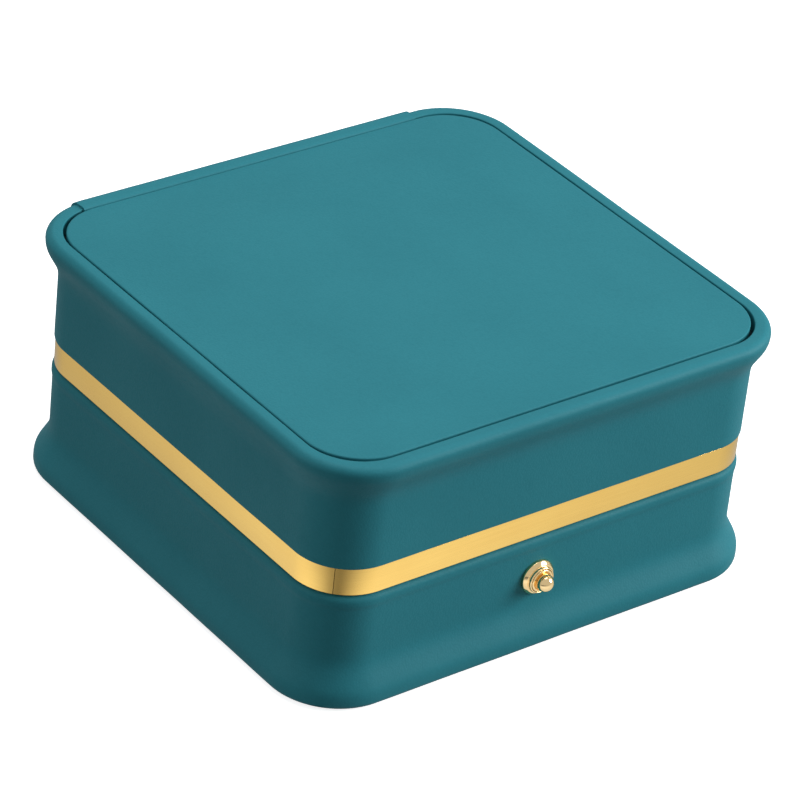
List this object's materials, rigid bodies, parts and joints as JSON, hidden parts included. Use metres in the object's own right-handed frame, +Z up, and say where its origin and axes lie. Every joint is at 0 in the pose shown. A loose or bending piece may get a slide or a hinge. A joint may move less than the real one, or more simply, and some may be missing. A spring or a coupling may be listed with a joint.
{
  "type": "bracelet box",
  "caption": "Rounded square leather-covered bracelet box with a hinged padded lid, a gold band, a front push button latch and a velvet cushion insert.",
  "frame": {"origin": "on the surface the box stands on, under the middle of its outline", "axes": "+Z up, -Y towards the front with the push button, +Y towards the hinge, +X to the right of someone facing the front"},
  "size_m": [0.1, 0.0986, 0.0495],
  "materials": {
    "teal_leatherette": "matte fine grain",
    "brushed_gold": "brushed",
    "wrapped_board": "dark paper over board",
    "velvet": "velvet",
    "foam": "open cell foam",
    "base_felt": "matte",
    "steel": "satin"
  },
  "bodies": {
    "base": {"base_bottom_panel": "base_felt", "base_collar": "velvet", "base_core": "wrapped_board", "base_floor_lining": "velvet", "base_leather": "teal_leatherette", "bracelet_cushion": "velvet", "button_bezel": "brushed_gold", "hinge_leaf_base": "steel", "hinge_pin": "steel", "hinge_screw_base_a": "steel", "hinge_screw_base_b": "steel", "hinge_screw_base_c": "steel", "hinge_strip_base": "teal_leatherette", "insert_frame": "velvet", "latch_housing": "steel", "latch_screw_a": "steel", "latch_screw_b": "steel", "return_spring": "steel"},
    "lid": {"lid_core": "wrapped_board", "lid_leather": "teal_leatherette", "gold_band": "brushed_gold", "top_pad_board": "wrapped_board", "top_pad_foam": "foam", "top_pad_leather": "teal_leatherette", "lid_liner": "velvet", "lid_lining_pad": "velvet", "latch_tongue": "steel", "tongue_screw_a": "steel", "tongue_screw_b": "steel", "hinge_leaf_lid": "steel", "hinge_screw_lid_a": "steel", "hinge_screw_lid_b": "steel", "hinge_screw_lid_c": "steel", "hinge_strip_lid": "teal_leatherette"},
    "push_button": {"button_cap": "brushed_gold", "button_stem": "steel", "latch_slide": "steel"}
  },
  "joints": [
    {"name": "lid_hinge", "type": "hinge", "parent": "base", "child": "lid", "pos_m": [-0.0023, 0.04639, 0.0222], "axis": [-1, 0, 0], "range_deg": [0, 100]},
    {"name": "button_press", "type": "slide", "parent": "base", "child": "push_button", "axis": [0, 1, 0], "range_m": [0, 0.0015], "stiffness_N_per_m": 400, "springref_m": -0.001, "deforming": ["return_spring"]}
  ]
}
